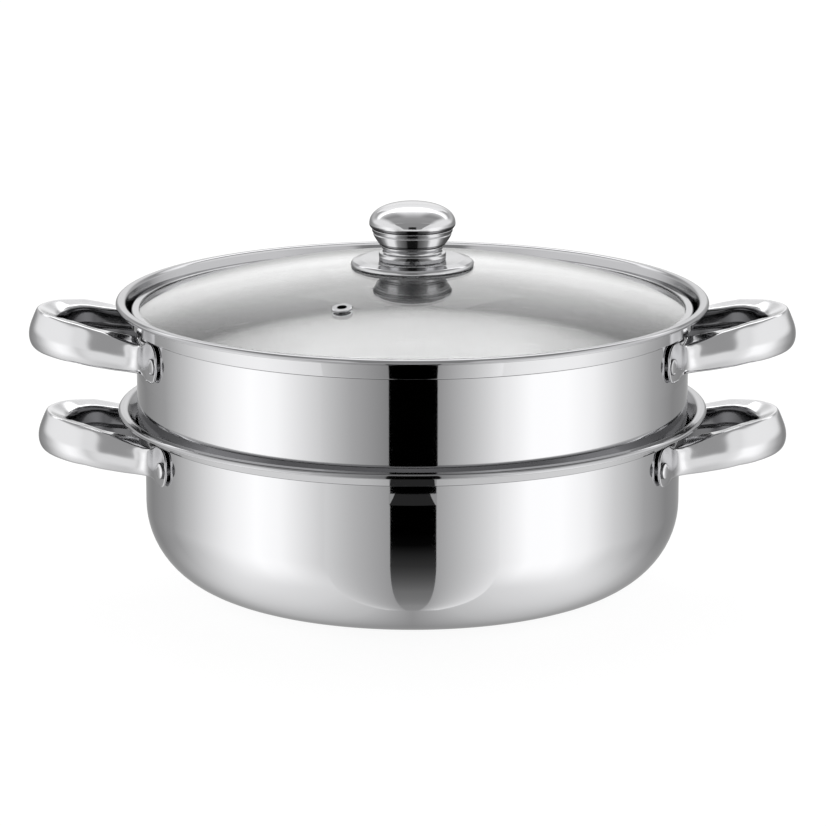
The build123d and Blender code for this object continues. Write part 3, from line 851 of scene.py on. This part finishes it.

# %% [markdown]
# ## The knob
# The knob is four turned or pressed pieces on one screw: a round flange on the glass, a collar with
# a waist, a tapered bowl with a turned groove, and a domed cap. Each gets its own profile with small
# rounded edges, because a polished edge always catches a line of light. The underside of the cap and
# the foot of the bowl are painted near-black: painted shade that draws the dark lines at their joints.

# %% Flange and collar
shank_bore = 2.55
flange_seat = 165.6
collar_seat = 166.4
flange_rim_low = glass_height(31.3) + 0.3
flange_rim_high = flange_rim_low + 2.2
flange_corners = [
    (shank_bore, flange_seat), (18.0, flange_seat), (26.0, collar_seat),
    (30.5, flange_rim_high - 0.8), (30.5, flange_rim_low),
]
outline, bends = bent_sheet(flange_corners, [1.1, 2.6, 1.3], 0.8)
flange_line = rounded_line(np.concatenate([outline, outline[:1]]), np.append(bends, 0.05), 6)
points, normals = turned(flange_line, 192)
knob_flange = piece_from_grids("knob_flange_saucer", [(points, normals, 0)], [turned_polish])
settle(knob_flange, "lid", "knob_steel", "knob_flange")

collar_band = collar_seat + 3.9
bowl_seat = 174.0
collar_points = [
    (shank_bore, collar_seat), (17.0, collar_seat), (17.0, collar_band), (15.2, collar_band + 0.35),
    (14.9, collar_band + 1.3), (16.2, bowl_seat), (shank_bore, bowl_seat),
]
collar_line = closed_ring(collar_points, [0.1, 0.5, 0.45, 0.4, 1.2, 0.35, 0.1], 10)
points, normals = turned(collar_line, 160)
knob_collar = piece_from_grids("knob_collar_turned", [(points, normals, 0)], [turned_polish])
settle(knob_collar, "lid", "knob_steel", "knob_collar")


# %% Bowl and cap
def smooth_line(points):
    """Directions square to a finely sampled line, on its right-hand side."""
    along = np.gradient(points, axis=0)
    along /= np.hypot(along[:, 0], along[:, 1])[:, None]
    return points, np.stack([along[:, 1], -along[:, 0]], -1)


bowl_low = 174.5
cap_low = 183.0
bowl_top = 184.4
share = np.linspace(0, 1, 90)
height = bowl_low + 0.35 + share * (cap_low - 0.3 - 0.3 - bowl_low - 0.35)
belly = np.minimum(1, (height - bowl_low) / (9.9 * 0.82))
bowl_side = 16.6 + 3.9 * np.sin(belly * math.pi / 2)
groove = bowl_low + 5.9
bowl_side -= 0.55 * np.exp(-(((height - groove) / 0.4) ** 2))
foot_turn = np.linspace(0, 1, 8)[:-1] * math.pi / 2
foot = np.stack([
    bowl_side[0] - 0.35 + 0.35 * np.sin(foot_turn), bowl_low + 0.35 - 0.35 * np.cos(foot_turn)
], -1)
bowl_shape = np.concatenate([
    [(shank_bore, bowl_seat), (13.45, bowl_seat), (13.5, bowl_seat + 0.05), (13.5, bowl_low - 0.02),
     (13.55, bowl_low), (15.0, bowl_low)],
    foot, np.stack([bowl_side, height], -1),
    [(bowl_side[-1] - 0.1, cap_low - 0.34), (bowl_side[-1] - 0.3, cap_low - 0.3), (18.55, cap_low - 0.3),
     (18.5, cap_low - 0.25), (18.5, bowl_top - 0.05), (18.45, bowl_top), (shank_bore, bowl_top),
     (shank_bore, bowl_seat + 4.0), (shank_bore, bowl_seat)],
])
points, normals = turned(smooth_line(bowl_shape), 160)
# The foot of the bowl takes near-black steel: painted shade at its joint with the collar.
bowl_strips = np.where(bowl_shape[:-1, 1] < bowl_low + 1.1, 1, 0)
knob_bowl = piece_from_grids("knob_bowl_turned", [(points, normals, bowl_strips)], [turned_polish, painted_shade_steel])
settle(knob_bowl, "lid", "knob_steel", "knob_bowl")


def cap_dome(radius, rise, turn):
    """A full oval: radius and height follow the cosine and sine raised to a little under one."""
    fullness = 0.9
    return np.stack([
        radius * np.cos(turn) ** fullness, cap_equator + rise * np.sin(turn) ** fullness
    ], -1)


cap_equator = 185.0
dome_turn = np.linspace(0, math.pi / 2 - 1e-6, 64)
dome = cap_dome(21.9, 10.8, dome_turn)
dome[-1, 0] = 0
inner_dome = cap_dome(20.9, 9.8, dome_turn[::-1])
inner_dome[0, 0] = 0
skirt_share = np.linspace(0, 1, 12)[:-1]
skirt = np.stack([20.9 + np.sin(skirt_share * math.pi / 2), cap_low + 2.0 * skirt_share], -1)
cap_shape = np.concatenate([
    [(18.55, cap_low + 0.05), (18.6, cap_low), (20.7, cap_low)],
    skirt[1:], dome, inner_dome, [(18.55, bowl_top + 0.3), (18.55, cap_low + 0.6), (18.55, cap_low + 0.05)],
])
points, normals = turned(smooth_line(cap_shape), 160)
# The lower edge of the cap, outside and in, takes near-black steel: painted shade under the cap.
cap_strips = np.where(cap_shape[:-1, 1] < cap_equator - 0.7, 1, 0)
knob_cap = piece_from_grids(
    "knob_cap_dome", [(points, normals, cap_strips)], [knob_polish, painted_shade_steel], exact=False
)
settle(knob_cap, "lid", "knob_steel", "knob_cap")

# %% [markdown]
# ## The loop handles
# Each handle is pressed from sheet into a hollow loop. Its outer face is tall and smooth, a sharp
# crease divides it from the top, and the top falls inwards at the far end of the loop. Near the wall
# the tube is flattened into a tab that lies along the wall. The section is a closed spline through
# eighteen guide points that change along the path, so one grid makes the whole handle. A seam runs
# round the inner side, where the two pressed halves meet.


# %% Splines for the handles
def spline_weights(share):
    """Weights of the four nearest guide points of an even cubic B-spline."""
    return np.stack([
        (1 - share) ** 3, 3 * share**3 - 6 * share**2 + 4,
        -3 * share**3 + 3 * share**2 + 3 * share + 1, share**3
    ], -1) / 6


def open_spline(guides, samples):
    """Places along a spline that starts near its second guide point and ends near its last but one."""
    place = np.linspace(0, len(guides) - 3 - 1e-9, samples)
    first = place.astype(int)
    weights = spline_weights(place - first)
    return (weights[:, :, None] * guides[first[:, None] + np.arange(4)]).sum(1)


def closed_spline(guides, samples):
    """Places round closed splines, one for each row of guide points, with the first place repeated."""
    count = guides.shape[1]
    place = np.arange(samples + 1) / samples * count
    first = place.astype(int)
    weights = spline_weights(place - first)
    index = (first[:, None] + np.arange(4) - 1) % count
    return np.einsum("sk,rskc->rsc", weights, guides[:, index])


def ease(low, high, value):
    """Rises smoothly from 0 to 1 between two values."""
    share = np.clip((value - low) / (high - low), 0, 1)
    return share * share * (3 - 2 * share)


print("spline helpers ready")


# %% Path and section of a handle
def handle_path(wall):
    """Guide points of the loop's outer face in plan, from one free end of its tabs to the other."""
    tab = wall + 2.4
    across = np.array([-68.3, -64.15, -60.0, -56.0, -52.0, -49.0, -46.0])
    on_wall = np.stack([np.sqrt(tab**2 - across**2), across], -1)
    loop = np.array([
        (-3.0, -41.5), (1.0, -38.9), (8.0, -38.2), (17.0, -37.8), (27.5, -36.2), (38.5, -31.0),
        (48.5, -21.8), (55.2, -8.0),
    ]) + (wall, 0)
    half = np.concatenate([on_wall, loop])
    return np.concatenate([half, half[::-1] * (1, -1)])


reach_marks = [-8, 0, 9, 15.5, 22.4, 30, 37, 45, 55]
bottom_marks = [-8.7, -8.2, -7.3, -6.4, -5.5, -4.3, -3.9, -3.2, -2.6]
crease_marks = [4.5, 6.0, 8.9, 11.5, 13.2, 14.9, 15.6, 16.7, 17.5]
inner_marks = [7.5, 8.4, 9.9, 10.9, 11.8, 13.1, 14.0, 14.2, 13.0]


def handle_guides(out, on_loop):
    """Guide points of the section at each station, as millimetres inwards and upwards.

    The loop's section runs down the outer face, under, up the inner face and back over the top to
    the crease. The tab's section is a thin upright plate. They are mixed by the share on the loop.
    """
    far = np.sin(math.pi / 2 * np.clip(out / 55, 0, 1)) ** 1.1
    width = 11.0 + 3.8 * far
    inset = 1.6 + 3.1 * far
    low = np.interp(out, reach_marks, bottom_marks)
    crease = np.interp(out, reach_marks, crease_marks)
    inner = np.interp(out, reach_marks, inner_marks)
    nought = out * 0
    rise = crease - low
    middle = 0.5 * (low + inner)
    wave = 0.25 + 0.3 * np.sin(out / 55 * 9.0)
    loop = [
        (nought - 0.2, low + 0.45 * rise), (nought + 0.1, low + 0.16 * rise), (0.2 * width, low - 0.5),
        (0.5 * width, low - 0.7), (0.86 * width, low - 0.3), (width + 0.3, low + 1.8),
        (width + wave, middle - 1.4), (width + wave, middle - 0.45), (width - 1.0, middle),
        (width + wave, middle + 0.45), (width + wave, middle + 1.4),
        (width + 0.3, inner - 1.2), (width - 0.6, inner + 0.7),
        (0.65 * width + 0.35 * inset, 0.66 * inner + 0.34 * crease + 0.5),
        (0.3 * width + 0.7 * inset, 0.3 * inner + 0.7 * crease + 0.6), (inset + 0.3, crease + 0.7),
        (inset - 0.75, crease - 0.4), (0.35 * inset - 0.1, crease - 0.3 * rise),
    ]
    plate_in = np.array([0, 0, 0, 0.7, 1.4, 1.4, 1.4, 1.4, 1.4, 1.4, 1.4, 1.4, 1.4, 1.1, 0.7, 0.3, 0, 0])
    plate_up = np.array([
        0.5, 0.2, 0, -0.02, 0, 0.2, 0.35, 0.45, 0.5, 0.55, 0.65, 0.8, 1, 1.02, 1.02, 1.02, 1, 0.8,
    ])
    tab_low, tab_high = -8.8, 10.3
    plate = np.stack([plate_in, tab_low + plate_up * (tab_high - tab_low)], -1)
    loop = np.array(loop).transpose(2, 0, 1)
    return plate + on_loop[:, None, None] * (loop - plate)


def handle_grid(wall, height, side, along=260, round_steps=108):
    """The skin of a handle: section places put square to the path, kept off the round wall.

    A place is the path's point less the outward direction times the millimetres inwards. Stations
    crowd towards the free ends. A place that would fall inside the wall is moved out to it.
    """
    line = open_spline(handle_path(wall), 4000)
    travelled = np.concatenate([[0], np.cumsum(np.hypot(*np.diff(line, axis=0).T))])
    share = np.linspace(0, 1, along)
    at = travelled[-1] * (share - 0.8 * np.sin(2 * math.pi * share) / (2 * math.pi))
    path = np.stack([np.interp(at, travelled, line[:, k]) for k in (0, 1)], -1)
    ahead = np.stack([
        np.interp(at, travelled, np.gradient(line[:, k], travelled)) for k in (0, 1)
    ], -1)
    ahead /= np.hypot(ahead[:, 0], ahead[:, 1])[:, None]
    outward = np.stack([ahead[:, 1], -ahead[:, 0]], -1)
    from_end = np.minimum(at, travelled[-1] - at)
    section = closed_spline(handle_guides(path[:, 0] - wall, ease(11, 27, from_end)), round_steps)
    corner = 6.5
    lost = corner - np.sqrt(corner**2 - np.clip(corner - from_end, 0, corner) ** 2)
    middle = 0.75
    squeeze = 1 - lost / 9.5
    upward = middle + (section[..., 1] - middle) * squeeze[:, None]
    flat = path[:, None] - outward[:, None] * section[..., :1]
    radius = np.hypot(flat[..., 0], flat[..., 1])
    kept = np.maximum(radius, wall + 1.0)
    flat = flat * (kept / radius)[..., None]
    grid = np.concatenate([flat, upward[..., None]], -1)
    ends = grid[[0, -1]].mean(1, keepdims=True).repeat(round_steps + 1, 1)
    grid = np.concatenate([ends[:1], grid, ends[1:]])
    grid[..., 2] += height
    grid[..., :2] *= side
    normals = np.cross(np.gradient(grid, axis=0), np.gradient(grid, axis=1))
    inside = grid - grid.mean(1, keepdims=True)
    if (normals * inside).sum() < 0:
        normals = -normals
    length = np.linalg.norm(normals, axis=-1, keepdims=True)
    # The inner side of the loop, away from the tabs, takes near-black steel: painted shade inside the loop.
    guide = np.arange(round_steps) * 18 / round_steps
    facing_in = (guide > 4.4) & (guide < 11.6)
    stations = np.concatenate([[0], from_end, [0]])[:-1]
    finish = (facing_in[None] & (stations[:, None] > 7)).astype(int)
    return grid, normals / np.maximum(length, 1e-9), finish


tiers = {"pot": (pot_radius, 71.0, "pot"), "steamer": (steamer_radius, 124.0, "steamer_tier")}
for tier, (wall, height, body) in tiers.items():
    for side_name, side in (("right", 1), ("left", -1)):
        grid = handle_grid(wall, height, side)
        node = f"{tier}_handle_{side_name}"
        handle = piece_from_grids(f"{node}_loop", [grid], [handle_mirror, painted_shade_steel], exact=False)
        settle(handle, body, "handle_steel", node)

# %% [markdown]
# ## The rivets
# Each handle is held by two rivets. The hammered head outside is a low dome and catches the light,
# and a smaller dome closes the rivet inside the wall. A head is a profile turned about its own axis,
# then laid over so that the axis points out of the wall.


# %% Rivet heads
def laid_over(line, wall, across, height, side, count=40):
    """Turns a profile of radius and depth about a line square to the round wall.

    A place is the wall's point plus the depth along the outward direction, plus the radius times
    the cosine along the wall and the sine upwards.
    """
    places, normals = line
    bearing = math.asin(across / wall)
    out = np.array([math.cos(bearing) * side, math.sin(bearing) * side, 0])
    along = np.array([-out[1], out[0], 0])
    upwards = np.array([0, 0, 1.0])
    turn = np.arange(count + 1) * 2 * math.pi / count
    ring = np.outer(np.cos(turn), along) + np.outer(np.sin(turn), upwards)
    foot = out * wall + upwards * height
    points = foot + places[:, :1, None] * ring + places[:, 1:, None] * out
    facing = normals[:, :1, None] * ring + normals[:, 1:, None] * out
    # The rim of each head takes near-black steel: painted shade round the head.
    at_edge = places[:-1, 0] > 0.93 * places[:, 0].max()
    return points, facing, at_edge.astype(int)


def head_line(low, top, radius, shank):
    """A rivet head's profile: shank, flat underside, rounded edge and a low dome."""
    turn = np.linspace(0, math.pi / 2, 14)
    rise = top - low
    dome = np.stack([radius * np.cos(turn) ** 0.7, low + 0.3 * rise + 0.7 * rise * np.sin(turn)], -1)
    dome[-1, 0] = 0
    neck = [(0, low - 0.8), (shank, low - 0.8), (shank, low), (radius - 0.1, low), (radius, low + 0.1)]
    return smooth_line(np.concatenate([neck, dome]))


rivet_heads = {"pot": 2.3, "steamer": 1.1}
for tier, (wall, height, body) in tiers.items():
    outer_head = head_line(2.4, 2.4 + rivet_heads[tier], 4.15, 2.4)
    inner_head = head_line(sheet + 0.05, sheet + 1.0, 4.4, 2.4)
    inner_head = (inner_head[0] * (1, -1), inner_head[1] * (1, -1))
    for side_name, side in (("right", 1), ("left", -1)):
        grids = [
            laid_over(line, wall, across, height, side)
            for across in (-60.0, 60.0) for line in (outer_head, inner_head)
        ]
        node = f"{tier}_handle_{side_name}_rivets"
        pair = piece_from_grids(f"{node}_domed", grids, [rivet_polish, painted_shade_steel], exact=False)
        settle(pair, body, "fastener_steel", node)

# %% [markdown]
# ## Finishes for the fasteners
# The spacers, eyelet, seals, washer, screw and insert keep their CAD shapes. They get the finishes of
# turned, polished or moulded parts; the eyelet takes the lid band's darker steel, a painted shade. The
# spacers are painted near-black, a painted shade that keeps the slit beside each tab dark.

# %% Give the CAD nodes their finishes
node_finishes = {
    "lid_vent_grommet": band_steel_painted_shade, "knob_upper_seal": dark_rubber, "knob_lower_seal": dark_rubber,
    "knob_lower_washer": fastener_satin, "knob_screw": fastener_satin, "knob_insert": fastener_satin,
}
# The spacers take near-black steel: painted shade in the slit beside each tab.
for tier in tiers:
    for side_name in ("left", "right"):
        node_finishes[f"{tier}_handle_{side_name}_spacers"] = painted_shade_steel
for node, finish in node_finishes.items():
    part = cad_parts[node]
    for place in part.material_slots:
        place.material = finish
print("CAD nodes finished:", len(node_finishes))
